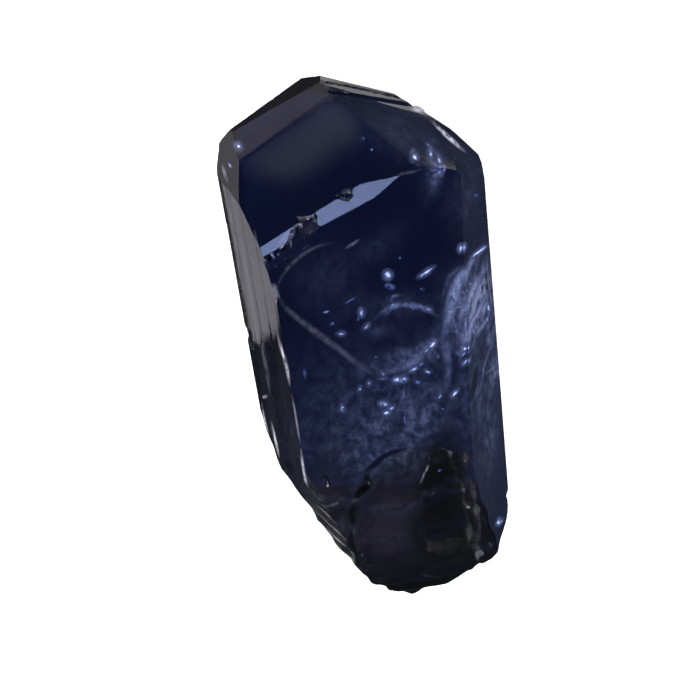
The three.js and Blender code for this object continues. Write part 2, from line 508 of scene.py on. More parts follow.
@dataclass
class CrystalForm:
    """The outer form of the crystal: its faces, its broken plate, its chips and its rims."""

    front: tuple[Face, ...] = (
        Face(0, 0, 6.0, Waves(7.0, 0.012, 3)),
        Face(40, 5.5, 6.06, Waves(6.0, 0.015, 4)),
    )
    rims: tuple[Bead, ...] = (
        Bead(((-5.1, 9.2), (-5.65, 8.5), (-5.4, 7.9), (-5.1, 7.1), (-4.2, 5.9), (-3.1, 4.7), (-2.0, 3.5),
              (-1.3, 2.2), (-0.5, 1.7), (0.1, 1.5)), 0.03, 0.22),
        Bead(((-4.6, -4.4), (-4.4, -4.9), (-4.5, -5.4)), -0.05, 0.1),
        Bead(((-5.2, -6.6), (-4.5, -6.9), (-3.8, -6.9)), 0.07, 0.16),
    )
    prism: tuple[Face, ...] = (
        Face(0, 180, 6.0),
        Face(180, 71, 7.42, Stack((
            Groove(((-3.6, -1.8), (0.3, -2.5), (3.0, -2.2)), 1.0, 0.13),
            Groove(((-3.6, 1.7), (-1.4, 1.35), (1.6, 1.0), (7.0, 1.5)), 1.2, 0.15),
            Groove(((-0.8, -0.1), (2.1, -1.4), (4.5, -1.8)), 0.5, 0.08),
            Striae(0.55, 0.03, 11),
        ))),
        Face(180.3, 79, 7.55, Striae(0.5, 0.02, 16)),
        Face(180, 115.5, 7.3, Striae(0.5, 0.06, 12)),
        Face(0, 50, 7.67, Striae(0.5, 0.012, 13)),
        Face(0, 93, 7.7, Striae(0.45, 0.02, 14)),
        Face(0, 132.5, 7.35, Striae(0.5, 0.05, 15)),
    )
    tip: tuple[Face, ...] = (
        Face(111, 30.5, 10.43),
        Face(111.6, 21, 9.05),
        Face(112, 44.5, 12.1, Waves(5.0, 0.003, 21)),
        Face(105.4, 42.4, 12.24),
        Face(145, 65, 12.95),
        Face(112.5, 49.2, 12.93),
        Face(113.1, 54, 13.71),
        Face(112, 75, 16.67),
        Face(121.5, 126.5, 14.5),
        Face(68.5, 66.5, 15.28, Waves(4.0, 0.02, 23)),
        Face(67.5, 74.5, 15.95, Stack((
            Groove(((7.8, -4.8), (6.3, -5.05), (2.8, -5.15)), 0.35, 0.08),
            Groove(((7.6, -3.95), (4.8, -4.25), (1.3, -4.7)), 0.5, 0.2),
        ))),
        Face(67.5, 84, 16.9),
        Face(42, 68, 14.07),
        Face(14, 62, 10.45),
        Face(67.5, 126, 14.25),
        Face(38, 112, 12.52),
    )
    foot: tuple[Face, ...] = (
        Face(-100, 15, 7.42, shattered((-3, 9), 2.6, 0.16, 41), True),
        Face(-92, 36, 12.25, shattered((2, 7), 2.2, 0.25, 42), True),
        Face(-89, 66, 18.2, shattered((-4, 6), 1.9, 0.25, 43), True),
        Face(-91, 108, 18.9, shattered((3, -5), 2.4, 0.3, 44), True),
        Face(-158.5, 98.5, 8.45, shattered((4, 5), 2.3, 0.22, 45), True),
        Face(-144.5, 97, 10.45, shattered((-3, 4), 1.8, 0.2, 46), True),
        Face(-158, 63.5, 8.9, shattered((3, 3), 1.7, 0.15, 47), True),
        Face(-25, 87, 12.25, shattered((-3, 5), 2.0, 0.2, 48), True),
        Face(-45, 97, 14.35, shattered((0, 5), 2.2, 0.15, 49), True),
        Face(-60, 100, 16.2, shattered((2, 4), 2.1, 0.22, 50), True),
    )
    hollows: tuple[Hollow, ...] = (
        Hollow(((1, -4), (-0.4, -4.2), (-1.2, -4.9), (-1.9, -5.5), (-1.6, -6.3), (-2.4, -7), (-2.9, -8.8),
                (-2.8, -9.8), (-3.2, -11.6), (-2.7, -13), (-3.4, -22), (6.4, -22), (5.2, -14.2), (4.9, -9),
                (4.4, -5), (3, -3.9)), PLATE, 0.0, Waves(1.4, 0.16, 31)),
        Hollow(((2.9, -4.4), (2.2, -5.8), (1.6, -7.6), (1.8, -9.4), (1.2, -11.2), (1.7, -13.4), (3, -14.3),
                (4.4, -13.9), (4.7, -12), (4.4, -9), (3.7, -6.6), (3.6, -4.9)), PLATE, 0.6,
               Waves(1.2, 0.14, 32)),
        Hollow(((-1.15, 12.95), (-0.75, 13.15), (-0.45, 13.15), (-0.38, 12.93), (-0.65, 12.75),
                (-1.05, 12.8)), Face(112, 44.5, 11.93)),
        Hollow(((-3.68, 12.0), (-2.65, 12.0), (-2.65, 11.2), (-3.1, 10.95), (-3.67, 11.1)),
               Face(112, 44.5, 11.9), 0.0, Waves(0.7, 0.04, 33)),
        Hollow(((-3.35, 10.6), (-3.87, 10.3), (-4.85, 9.4), (-6.3, 8.6), (-6.5, 9.6), (-5.6, 10.2),
                (-4.9, 10.6), (-4.3, 11.2), (-3.6, 11.7)), Face(112, 38, 11.1), 0.0, Waves(0.7, 0.06, 34)),
    )
    bites: tuple[Bite, ...] = (
        Bite((-7.95, 3, 5.6), 0.55, Face(180, 80, 6.9)),
        Bite((7.9, -11.2, 8.4), 0.6, Face(-20, 70, 8.4)),
    )
    dull_ramp: float = 0.3

    def faces(self) -> tuple[Face, ...]:
        """All the faces that bound the crystal."""
        return (*self.front, *self.prism, *self.tip, *self.foot)

    def height(self, points: np.ndarray) -> np.ndarray:
        """How far each point is outside the crystal, negative inside.

        The greatest height above any face counts. The rims are added to the front faces, and what is
        broken out counts as outside.

        Args:
            points: (n, 3), millimetres.

        Returns:
            Heights, (n,).
        """
        x, y = points[:, 0], points[:, 1]
        top = np.max([face.above(points) for face in self.front], axis=0)
        top -= np.sum([rim.rise(x, y) for rim in self.rims], axis=0)
        rest = np.max([face.above(points) for face in (*self.prism, *self.tip, *self.foot)], axis=0)
        return np.maximum(np.maximum(top, rest), -self._missing(points))

    def _missing(self, points: np.ndarray) -> np.ndarray:
        """Distance into the broken-out parts, negative inside them."""
        return np.min([gap.inside(points) for gap in (*self.hollows, *self.bites)], axis=0)

    def top(self, x: np.ndarray, y: np.ndarray) -> np.ndarray:
        """Level of the skin over each spot of the plan, relief left out.

        The lowest of all the planes that look up counts, and the floor of a hollow inside its outline.

        Args:
            x: first coordinates.
            y: second coordinates.

        Returns:
            Levels above the floor, in the shape of x.
        """
        level = np.min([face.level(x, y) for face in self.faces() if face.looks_up], axis=0)
        for hollow in self.hollows:
            level = hollow.lower(level, x, y)
        return level

    def bottom(self, x: np.ndarray, y: np.ndarray) -> np.ndarray:
        """Level of the underside: the highest of all the planes that look down."""
        return np.max([face.level(x, y) for face in self.faces() if not face.looks_up], axis=0)

    def dullness(self, points: np.ndarray) -> np.ndarray:
        """One on the breaks and nought on the natural faces, with a short ramp between.

        Args:
            points: (n, 3), millimetres.

        Returns:
            Dullness, (n,).
        """
        broken = np.max([face.above(points) for face in self.foot], axis=0)
        rough = [gap.inside(points) for gap in self.hollows if gap.floor.broken]
        broken = np.maximum(broken, -np.min(rough, axis=0))
        natural = np.max([face.above(points) for face in (*self.front, *self.prism, *self.tip)], axis=0)
        return np.clip((broken - natural) / self.dull_ramp + 0.5, 0.0, 1.0)


# ---------------------------------------------------------------- blender meshes and finishes

def put_mesh(name: str, vertices: np.ndarray, faces: np.ndarray) -> bpy.types.Object:
    """Make an object at the origin from vertices in millimetres and same-sized faces.

    Args:
        name: the piece's name.
        vertices: (n, 3), millimetres.
        faces: (m, 3) or (m, 4), vertex numbers.

    Returns:
        The object, linked to the scene.
    """
    mesh = bpy.data.meshes.new(name)
    sides = faces.shape[1]
    mesh.vertices.add(len(vertices))
    mesh.vertices.foreach_set("co", (vertices * MM).astype(np.float32).ravel())
    mesh.loops.add(faces.size)
    mesh.loops.foreach_set("vertex_index", faces.astype(np.int32).ravel())
    mesh.polygons.add(len(faces))
    mesh.polygons.foreach_set("loop_start", np.arange(0, faces.size, sides, dtype=np.int32))
    mesh.update(calc_edges=True)
    mesh.validate()
    piece = bpy.data.objects.new(name, mesh)
    bpy.context.scene.collection.objects.link(piece)
    return piece


def wisps_group() -> bpy.types.NodeTree:
    """The shared noise group, made once.

    Noise in the crystal's own frame is bent by coarser noise. Ridges are one minus twice the distance of a
    second, coarser noise from its middle value, sharpened by a power.

    Returns:
        The group, with Grain, Bend and Ridges in and Level out.
    """
    name = "wisps"
    roughness, bending_scale, ridge_scale, ridge_sharpness = 0.62, 0.5 / MM, 0.7, 14.0
    if name in bpy.data.node_groups:
        return bpy.data.node_groups[name]
    group = bpy.data.node_groups.new(name, "ShaderNodeTree")
    group.interface.new_socket("Grain", in_out="INPUT", socket_type="NodeSocketVector")
    group.interface.new_socket("Bend", in_out="INPUT", socket_type="NodeSocketFloat")
    group.interface.new_socket("Ridges", in_out="INPUT", socket_type="NodeSocketFloat")
    group.interface.new_socket("Level", in_out="OUTPUT", socket_type="NodeSocketFloat")

    def add(kind: str, **settings: object) -> bpy.types.Node:
        """Add a node.

        Args:
            kind: its type.
            settings: its properties.

        Returns:
            The node.
        """
        node = group.nodes.new(kind)
        for key, value in settings.items():
            setattr(node, key, value)
        return node

    def noise(place: bpy.types.NodeSocket, scale: float, detail: float, output: str) -> bpy.types.NodeSocket:
        """Add noise.

        Args:
            place: where it is read.
            scale: its scale.
            detail: how many finer layers it has.
            output: the output to take.

        Returns:
            The output.
        """
        node = add("ShaderNodeTexNoise")
        node.inputs["Scale"].default_value = scale
        node.inputs["Detail"].default_value = detail
        node.inputs["Roughness"].default_value = roughness
        group.links.new(place, node.inputs["Vector"])
        return node.outputs[output]

    def work(kind: str, first: bpy.types.NodeSocket, *others: object) -> bpy.types.NodeSocket:
        """Add a sum of values.

        Args:
            kind: the operation.
            first: the first value.
            others: the other values, numbers or outputs.

        Returns:
            The result.
        """
        node = add("ShaderNodeMath", operation=kind)
        group.links.new(first, node.inputs[0])
        for socket, value in zip(node.inputs[1:], others):
            if isinstance(value, float):
                socket.default_value = value
            else:
                group.links.new(value, socket)
        return node.outputs["Value"]

    incoming = add("NodeGroupInput")
    place = add("ShaderNodeTexCoord").outputs["Object"]
    coarse = noise(place, bending_scale, 1.0, "Color")
    centred = add("ShaderNodeVectorMath", operation="SUBTRACT")
    centred.inputs[1].default_value = (0.5, 0.5, 0.5)
    group.links.new(coarse, centred.inputs[0])
    push = add("ShaderNodeVectorMath", operation="SCALE")
    group.links.new(centred.outputs["Vector"], push.inputs[0])
    group.links.new(incoming.outputs["Bend"], push.inputs["Scale"])
    bent = add("ShaderNodeVectorMath", operation="ADD")
    group.links.new(place, bent.inputs[0])
    group.links.new(push.outputs["Vector"], bent.inputs[1])
    grain = add("ShaderNodeVectorMath", operation="MULTIPLY")
    group.links.new(bent.outputs["Vector"], grain.inputs[0])
    group.links.new(incoming.outputs["Grain"], grain.inputs[1])
    fine = noise(grain.outputs["Vector"], 1.0, 4.0, "Fac")
    lines = noise(grain.outputs["Vector"], ridge_scale, 1.0, "Fac")
    away = work("ABSOLUTE", work("SUBTRACT", lines, 0.5))
    ridge = work("POWER", work("SUBTRACT", work("MULTIPLY", away, -2.0), -1.0), ridge_sharpness)
    out = add("NodeGroupOutput")
    lit = work("MULTIPLY", ridge, incoming.outputs["Ridges"])
    group.links.new(work("ADD", lit, fine), out.inputs["Level"])
    return group


class NodeBook:
    """A material's node tree with short ways to add and join nodes."""

    def __init__(self, name: str) -> None:
        """Make the material and keep its shader.

        Args:
            name: the material's name.
        """
        self.material = bpy.data.materials.new(name)
        self.material.use_nodes = True
        self.tree = self.material.node_tree
        self.shader = self.tree.nodes["Principled BSDF"]

    def add(self, kind: str, **inputs: object) -> bpy.types.Node:
        """Add a node.

        Args:
            kind: its type.
            inputs: values of its inputs by name, with underscores for blanks.

        Returns:
            The node.
        """
        node = self.tree.nodes.new(kind)
        for name, value in inputs.items():
            node.inputs[name.replace("_", " ")].default_value = value
        return node

    def join(self, output: bpy.types.NodeSocket, socket: bpy.types.NodeSocket) -> None:
        """Join an output to an input."""
        self.tree.links.new(output, socket)

    def noise(self, grain: Point, bend: float = 0.0, ridges: float = 0.0) -> bpy.types.NodeSocket:
        """Place the wisps group.

        Args:
            grain: cycles per millimetre across, along and through the crystal.
            bend: how far coarse noise pushes the fine noise aside, millimetres.
            ridges: share of thin bright lines.

        Returns:
            The level, about nought to one.
        """
        node = self.tree.nodes.new("ShaderNodeGroup")
        node.node_tree = wisps_group()
        node.inputs["Grain"].default_value = tuple(g / MM for g in grain)
        node.inputs["Bend"].default_value = bend * MM
        node.inputs["Ridges"].default_value = ridges
        return node.outputs["Level"]

    def stretch(self, level: bpy.types.NodeSocket, low: float, high: float, start: float = 0.0,
                end: float = 1.0) -> bpy.types.NodeSocket:
        """Carry one span of values onto another, clamped at its ends.

        Args:
            level: the value.
            low: what becomes start.
            high: what becomes end.
            start: the new span's first value.
            end: the new span's last value.

        Returns:
            The new value.
        """
        span = self.add("ShaderNodeMapRange", From_Min=low, From_Max=high, To_Min=start, To_Max=end)
        self.join(level, span.inputs["Value"])
        return span.outputs["Result"]

    def sum(self, kind: str, first: bpy.types.NodeSocket, second: bpy.types.NodeSocket | float
            ) -> bpy.types.NodeSocket:
        """Work out a sum of two values, clamped to nought to one.

        Args:
            kind: the operation.
            first: the first value.
            second: the second value, a number or an output.

        Returns:
            The result.
        """
        node = self.add("ShaderNodeMath")
        node.operation = kind
        node.use_clamp = True
        self.join(first, node.inputs[0])
        if isinstance(second, float):
            node.inputs[1].default_value = second
        else:
            self.join(second, node.inputs[1])
        return node.outputs["Value"]

    def tint(self, level: bpy.types.NodeSocket, *colours: Point) -> bpy.types.NodeSocket:
        """A colour for each level.

        Args:
            level: the value, nought to one.
            colours: the colours, evenly spaced.

        Returns:
            The colour.
        """
        ramp = self.add("ShaderNodeValToRGB")
        stops = ramp.color_ramp.elements
        while len(stops) < len(colours):
            stops.new(0.5)
        for k, colour in enumerate(colours):
            stops[k].position = k / (len(colours) - 1)
            stops[k].color = (*colour, 1.0)
        self.join(level, ramp.inputs["Fac"])
        return ramp.outputs["Color"]

    def attribute(self, name: str) -> bpy.types.NodeSocket:
        """A value that the mesh carries.

        Args:
            name: the attribute's name.

        Returns:
            The value.
        """
        node = self.add("ShaderNodeAttribute")
        node.attribute_name = name
        return node.outputs["Fac"]


@dataclass(frozen=True)
class TanzaniteGlass:
    """Clear violet-blue tanzanite: plain glass with plain absorption, duller on the breaks.

    Attributes:
        ior: how strongly it bends light.
        absorbed: the colour that its absorption leaves.
        density: how fast it absorbs, per metre.
        polish: roughness of the natural faces.
        dull: roughness of the breaks.
        tints: the two colours that its surface wanders between.
        tint_grain: cycles of that per millimetre across, along and through the crystal.
        striation_grain: cycles of the fine striations per millimetre.
        striation_share: their height, as a share of the bumps.
        break_grain: cycles of the unevenness of the breaks per millimetre.
        bump_height: height of the bumps.
        bump_strength: how strongly they show.
    """

    ior: float = 1.69
    absorbed: Point = (0.34, 0.39, 0.62)
    density: float = 845.0
    polish: float = 0.02
    dull: float = 0.2
    tints: tuple[Point, Point] = ((0.86, 0.86, 1.0), (1.0, 0.97, 1.0))
    tint_grain: Point = (0.4, 0.2, 0.4)
    striation_grain: Point = (9.0, 0.25, 9.0)
    striation_share: float = 0.12
    break_grain: Point = (3.5, 3.5, 3.5)
    bump_height: float = 0.12
    bump_strength: float = 0.5

    def material(self) -> bpy.types.Material:
        """Build the finish.

        Returns:
            The material.
        """
        book = NodeBook("tanzanite_glass")
        shader = book.shader
        shader.inputs["Transmission Weight"].default_value = 1.0
        shader.inputs["IOR"].default_value = self.ior
        dull = book.attribute("dull")
        book.join(book.stretch(dull, 0.0, 1.0, self.polish, self.dull), shader.inputs["Roughness"])
        book.join(book.tint(book.noise(self.tint_grain), *self.tints), shader.inputs["Base Color"])
        fine = book.stretch(book.noise(self.striation_grain), 0.0, 1.0, 0.0, self.striation_share)
        rough = book.sum("MULTIPLY", book.noise(self.break_grain), dull)
        bump = book.add("ShaderNodeBump", Strength=self.bump_strength, Distance=self.bump_height * MM)
        book.join(book.sum("ADD", fine, rough), bump.inputs["Height"])
        book.join(bump.outputs["Normal"], shader.inputs["Normal"])
        volume = book.add("ShaderNodeVolumeAbsorption", Color=(*self.absorbed, 1.0), Density=self.density)
        book.join(volume.outputs["Volume"], book.tree.nodes["Material Output"].inputs["Volume"])
        return book.material


# ---------------------------------------------------------------- pieces

@dataclass
class Crystal:
    """The crystal's body: one closed skin of clear glass."""

    form: CrystalForm = field(default_factory=CrystalForm)
    glass: TanzaniteGlass = TanzaniteGlass()
    skin: LatticeSkin = LatticeSkin((-8.29, -19.09, -0.43), (8.3, 18.9, 12.5), (0.16, 0.2, 0.16))
    corner_inset: float = 0.2
    touch: float = 0.01

    def build(self) -> bpy.types.Object:
        """Build the body with the true normal of its faces at every corner, and dress it.

        Returns:
            The piece.
        """
        vertices, faces = self.skin.build(self.form.height)
        piece = put_mesh("tanzanite_body", vertices, faces)
        self._set_normals(piece, vertices, faces)
        dull = piece.data.attributes.new("dull", "FLOAT", "POINT")
        dull.data.foreach_set("value", self.form.dullness(vertices).astype(np.float32))
        piece.data.materials.append(self.glass.material())
        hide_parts(NODE)
        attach(piece, BODY)
        return piece

    def _set_normals(self, piece: bpy.types.Object, vertices: np.ndarray, faces: np.ndarray) -> None:
        """Give each corner the slope of the form a little way in from it, so edges stay crisp.

        Args:
            piece: the body.
            vertices: (n, 3), millimetres.
            faces: (m, 3), vertex numbers.
        """
        corners = vertices[faces]
        middle = corners.mean(axis=1, keepdims=True)
        inside = (corners * (1 - self.corner_inset) + middle * self.corner_inset).reshape(-1, 3)
        slope = np.stack([self.form.height(inside + side) - self.form.height(inside - side)
                          for side in self.touch * np.eye(3)], axis=1)
        slope /= np.maximum(np.linalg.norm(slope, axis=1, keepdims=True), 1e-9)
        piece.data.normals_split_custom_set(slope)


# ---------------------------------------------------------------- what is sealed in the crystal

@dataclass(frozen=True)
class Sheet:
    """A thin closed lens that follows a curved middle surface, pinched shut all round its rim."""

    thickness = 0.01

    def middle(self, form: CrystalForm) -> tuple[np.ndarray, np.ndarray, np.ndarray]:
        """The middle surface.

        Args:
            form: the crystal it is sealed in.

        Returns:
            Points (rows, columns, 3), how thick the sheet is there as a share (rows, columns), nought at
            the rim, and how dense it is there.
        """
        raise NotImplementedError

    def skin(self, form: CrystalForm) -> tuple[np.ndarray, np.ndarray, np.ndarray]:
        """The middle surface plus and minus half the thickness times its share, along its normal.

        Args:
            form: the crystal it is sealed in.

        Returns:
            Vertices (n, 3), faces (m, 4) and the density at each vertex (n,).
        """
        points, full, dense = self.middle(form)
        rows, columns = full.shape
        normal = np.cross(np.gradient(points, axis=0), np.gradient(points, axis=1))
        normal /= np.maximum(np.linalg.norm(normal, axis=2, keepdims=True), 1e-9)
        lift = normal * (self.thickness / 2 * full)[..., None]
        front = np.arange(rows * columns).reshape(rows, columns)
        back = front.copy()
        back[1:-1, 1:-1] = rows * columns + np.arange((rows - 2) * (columns - 2)).reshape(rows - 2, -1)
        under = (points - lift)[1:-1, 1:-1]
        vertices = np.concatenate([(points + lift).reshape(-1, 3), under.reshape(-1, 3)])
        density = np.concatenate([dense.ravel(), dense[1:-1, 1:-1].ravel()])
        cells = [np.stack([side[:-1, :-1], side[1:, :-1], side[1:, 1:], side[:-1, 1:]], axis=-1)
                 for side in (front, back)]
        return vertices, np.concatenate([cells[0].reshape(-1, 4), cells[1].reshape(-1, 4)[:, ::-1]]), density


@dataclass(frozen=True)
class Cloud:
    """A denser patch of a haze: a bell curve over a turned ellipse.

    Attributes:
        at: its middle in the plan.
        size: length and width at which it has faded to a seventh.
        turn: bearing of the length, degrees.
        glow: density in the middle.
    """

    at: Spot
    size: Spot
    turn: float
    glow: float

    def density(self, x: np.ndarray, y: np.ndarray) -> np.ndarray:
        """The glow times e to minus twice the square of the elliptical radius.

        Args:
            x: first coordinates in the plan.
            y: second coordinates in the plan.

        Returns:
            Densities, in the shape of x.
        """
        turn = np.radians(self.turn)
        length = (x - self.at[0]) * np.cos(turn) + (y - self.at[1]) * np.sin(turn)
        width = (y - self.at[1]) * np.cos(turn) - (x - self.at[0]) * np.sin(turn)
        return self.glow * np.exp(-2 * ((2 * length / self.size[0]) ** 2 + (2 * width / self.size[1]) ** 2))


@dataclass(frozen=True)
class Haze(Sheet):
    """One wide sheet that follows the skin at a depth and carries clouds.

    Attributes:
        clouds: its denser patches.
        depth: depth under the skin.
        middle_spot: the spot of the plan that the sheet is laid out from.
        low: the level above the floor where the sheet ends.
        fineness: number of points along each side of the grid.
        thickness: full thickness in the middle.
        reach: how far from its middle spot the sheet could end.
        clearance: least height over the underside.
        halvings: how often the search for its end halves the span.
    """

    clouds: tuple[Cloud, ...]
    depth: float
    middle_spot: Spot = (0.0, 0.0)
    low: float = 1.5
    fineness: int = 151
    thickness: float = 0.01
    reach: float = 25.0
    clearance: float = 0.3
    halvings: int = 24

    def middle(self, form: CrystalForm) -> tuple[np.ndarray, np.ndarray, np.ndarray]:
        """A square grid pressed into a disc, and the disc stretched to where the sheet ends.

        A point (a, b) of the square goes to a root(1 - bb/2), b root(1 - aa/2) on the disc. The density is
        the root of the sum of the squares of all the clouds' densities.

        Args:
            form: the crystal it is sealed in.

        Returns:
            Points, thickness share and density.
        """
        line = np.linspace(-1, 1, self.fineness)
        a, b = np.meshgrid(line, line, indexing="ij")
        u, v = a * np.sqrt(1 - b * b / 2), b * np.sqrt(1 - a * a / 2)
        radius = np.maximum(np.hypot(u, v), 1e-9)
        way = np.stack([u, v]) / radius
        near, far = np.zeros(radius.shape), np.full(radius.shape, self.reach)
        start = np.array(self.middle_spot)[:, None, None]
        for _ in range(self.halvings):
            reach = (near + far) / 2
            spot = start + way * reach
            end = np.maximum(self.low, form.bottom(*spot) + self.clearance)
            inside = form.top(*spot) - self.depth > end
            near, far = np.where(inside, reach, near), np.where(inside, far, reach)
        x, y = start + way * near * radius
        dense = np.sqrt(np.sum([cloud.density(x, y) ** 2 for cloud in self.clouds], axis=0))
        return np.stack([x, y, form.top(x, y) - self.depth], axis=-1), np.clip(1 - radius ** 8, 0, 1), dense


@dataclass(frozen=True)
class Streak(Sheet):
    """A narrow strip or a small fleck along a line under the skin.

    Attributes:
        line: the middle line in the plan.
        width: full width in the middle; it narrows towards both ends.
        glow: how bright it is.
        depth: depth under the skin.
        thickness: full thickness in the middle.
        step: about how far apart its points lie along the line.
        across: number of its points across the line.
        tip_share: width at the ends, as a share of that in the middle.
    """

    line: tuple[Spot, ...]
    width: float
    glow: float
    depth: float = 0.55
    thickness: float = 0.02
    step: float = 0.15
    across: int = 9
    tip_share: float = 0.15

    def halo(self, reach: float, glow: float) -> "Streak":
        """A painted glow: a wider, fainter streak just under this one.

        Args:
            reach: how much longer it is at each end, and wider at each side.
            glow: how bright it is, as a share of this one.

        Returns:
            The wider streak.
        """
        first, last = np.array(self.line[0]), np.array(self.line[-1])
        way = (last - first) / max(np.linalg.norm(last - first), 1e-6) * reach
        line = (tuple(first - way), *self.line[1:-1], tuple(last + way))
        return Streak(line, self.width + 2 * reach, glow * self.glow, self.depth + 0.06)

    def middle(self, form: CrystalForm) -> tuple[np.ndarray, np.ndarray, np.ndarray]:
        """A straight profile carried along the line, whose corners are rounded off.

        Args:
            form: the crystal it is sealed in.

        Returns:
            Points, thickness share and density: the glow times one minus the square of the place across
            the strip, and times a half wave along it.
        """
        line = np.array(self.line)
        reach = np.concatenate([[0], np.cumsum(np.linalg.norm(np.diff(line, axis=0), axis=1))])
        share = np.linspace(0, 1, max(9, int(reach[-1] / self.step)))
        spine = np.stack([np.interp(share * reach[-1], reach, line[:, k]) for k in range(2)], axis=1)
        for _ in range(len(share) // 5):
            spine[1:-1] = (spine[:-2] + 2 * spine[1:-1] + spine[2:]) / 4
        way = np.gradient(spine, axis=0)
        way /= np.linalg.norm(way, axis=1, keepdims=True)
        aside = np.linspace(-1, 1, self.across)
        swell = np.sin(np.pi * share) ** 0.5
        offset = aside * self.width / 2 * (self.tip_share + (1 - self.tip_share) * swell[:, None])
        x = spine[:, :1] - way[:, 1:] * offset
        y = spine[:, 1:] + way[:, :1] * offset
        full = swell[:, None] * (1 - aside ** 2)
        return np.stack([x, y, form.top(x, y) - self.depth], axis=-1), full, self.glow * full ** 1.5


@dataclass(frozen=True)
class EmissiveFilm:
    """A film shown only by its own emission, which no lamp lights: painted light that stands in for the light
    reaching it inside the glass. Its glow attribute, broken up by noise, sets how dense and bright it is.

    Attributes:
        colours: colours from the thinnest to the thickest place.
        body: opacity of the thickest place.
        grain: noise cycles per millimetre, across, along and through the crystal.
        bend: how far the noise is bent, millimetres.
        ridges: share of thin bright lines.
        low: noise level that thins the film to nothing.
        high: noise level that leaves the glow as it is.
    """

    colours: tuple[Point, ...]
    body: float
    grain: Point
    bend: float = 0.6
    ridges: float = 0.0
    low: float = 0.25
    high: float = 0.6

    def material(self, name: str) -> bpy.types.Material:
        """Build the finish.

        Args:
            name: the material's name.

        Returns:
            The material.
        """
        book = NodeBook(name)
        shader = book.shader
        # painted light: base colour black and no reflection, so the film's colour is all its own emission
        shader.inputs["Base Color"].default_value = (0, 0, 0, 1)
        shader.inputs["Specular IOR Level"].default_value = 0.0
        shader.inputs["Emission Strength"].default_value = 1.0
        level = book.noise(self.grain, self.bend, self.ridges)
        broken = book.stretch(level, self.low, self.high)
        dense = book.sum("MULTIPLY", broken, book.attribute("glow"))
        colour = book.tint(dense, *self.colours)
        book.join(colour, shader.inputs["Emission Color"])
        book.join(book.sum("MULTIPLY", dense, self.body), shader.inputs["Alpha"])
        return book.material


class Film(Enum):
    """The films that are sealed in the crystal, each shown by its own emission only; the pale ones are
    painted light.
    """

    # painted glow: haze of fine cracks that shines blue-grey by its own emission
    HAZE_PAINTED_GLOW = EmissiveFilm(((0.018, 0.022, 0.045), (0.024, 0.029, 0.054), (0.046, 0.056, 0.095),
                       (0.11, 0.13, 0.22), (0.3, 0.35, 0.5)), 1.5, (1.7, 1.2, 1.7), 0.6, 0.1, 0.22, 0.68)
    # painted shade with a dim painted glow: dark plum grey emission
    PLUM_SHADE = EmissiveFilm(((0.005, 0.005, 0.008), (0.011, 0.0105, 0.017), (0.02, 0.019, 0.029)), 1.6,
                      (2.4, 1.4, 2.4), 0.6, 0.1, 0.15, 0.55)
    # painted glow: milky veils that shine pale blue by their own emission
    VEIL_PAINTED_GLOW = EmissiveFilm(((0.04, 0.05, 0.1), (0.1, 0.125, 0.23), (0.2, 0.25, 0.42), (0.4, 0.48, 0.75)), 1.5,
                      (2.2, 1.4, 2.2), 0.5, 0.12, 0.25, 0.62)
    # painted highlight with a lilac tint, along the rims and forks
    LILAC_HIGHLIGHT = EmissiveFilm(((0.04, 0.04, 0.07), (0.08, 0.08, 0.13), (0.2, 0.19, 0.28)), 1.0,
                       (3.0, 2.0, 3.0), 0.6, 0.1, 0.25, 0.55)
    # painted glints: white-blue emission, brighter than anything lit
    PAINTED_GLINT = EmissiveFilm(((0.04, 0.06, 0.18), (0.12, 0.18, 0.42), (0.5, 0.65, 1.05), (1.4, 1.5, 1.8)), 2.2,
                       (4.0, 3.2, 4.0), 0.5, 0.25, 0.38, 0.56)
    # painted highlights: white emission along the edges
    EDGE_HIGHLIGHT = EmissiveFilm(((0.08, 0.08, 0.11), (0.25, 0.25, 0.3), (0.9, 0.9, 1.05)), 1.6,
                        (4.0, 1.2, 4.0), 0.4, 0.0, 0.3, 0.55)
    # near black: graphite, and painted shade at the foot's bottom edge
    GRAPHITE_AND_SHADE = EmissiveFilm(((0.006, 0.007, 0.008), (0.002, 0.003, 0.003)), 2.4, (3.0, 2.4, 3.0), 0.6, 0.0,
                          0.25, 0.42)


@dataclass(frozen=True)
class SealedSheets:
    """A kind of inclusion: sheets in one piece that carries each point's glow as an attribute.

    Attributes:
        name: the piece's name.
        film: its finish.
        form: the crystal it is sealed in.
    """

    name: ClassVar[str]
    film: ClassVar[Film]
    form: CrystalForm

    def sheets(self) -> Sequence[Sheet]:
        """The sheets."""
        raise NotImplementedError

    def build(self) -> bpy.types.Object:
        """Join the sheets into one piece and dress it.

        Returns:
            The piece.
        """
        vertices, faces, glow, count = [], [], [], 0
        for sheet in self.sheets():
            points, cells, density = sheet.skin(self.form)
            vertices.append(points)
            faces.append(cells + count)
            glow.append(density)
            count += len(points)
        piece = put_mesh(self.name, np.concatenate(vertices), np.concatenate(faces))
        layer = piece.data.attributes.new("glow", "FLOAT", "POINT")
        layer.data.foreach_set("value", np.concatenate(glow).astype(np.float32))
        piece.data.polygons.foreach_set("use_smooth", np.ones(len(piece.data.polygons), dtype=bool))
        piece.data.materials.append(self.film.value.material(self.name))
        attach(piece, BODY)
        return piece


